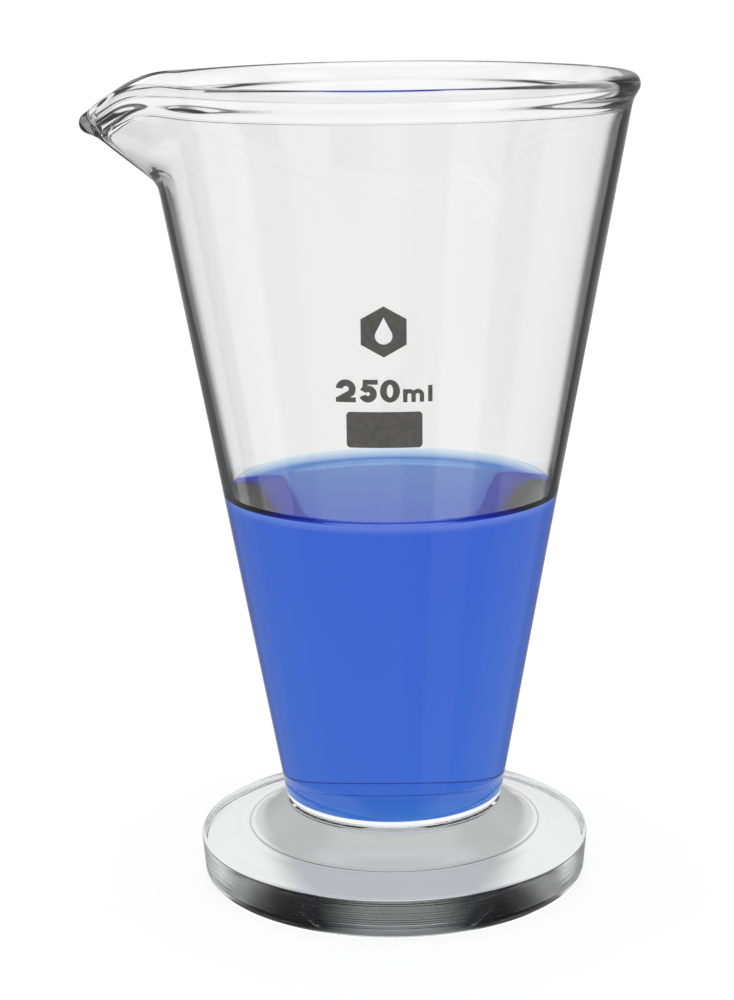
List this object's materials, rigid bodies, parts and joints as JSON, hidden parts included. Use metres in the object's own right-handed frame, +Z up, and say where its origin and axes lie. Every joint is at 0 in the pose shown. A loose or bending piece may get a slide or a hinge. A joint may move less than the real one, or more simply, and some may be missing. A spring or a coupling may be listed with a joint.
{
  "type": "conical measuring glass",
  "caption": "Conical laboratory measuring glass with a beaded rim and pouring spout on a heavy round foot, part filled with blue liquid.",
  "frame": {"origin": "on the bowl's axis at the underside of the foot", "axes": "+Z up along the bowl's axis, and the pouring spout points along -X"},
  "size_m": [0.0989, 0.0894, 0.1486],
  "materials": {
    "blown_glass": "polished",
    "pressed_glass": "polished",
    "dyed_water": "glossy",
    "enamel": "matte"
  },
  "bodies": {
    "root": {"bowl": "blown_glass", "foot": "pressed_glass", "fused_collar": "pressed_glass", "liquid": "dyed_water", "marking_spot": "enamel", "capacity_print": "enamel", "emblem_print": "enamel"}
  },
  "joints": []
}
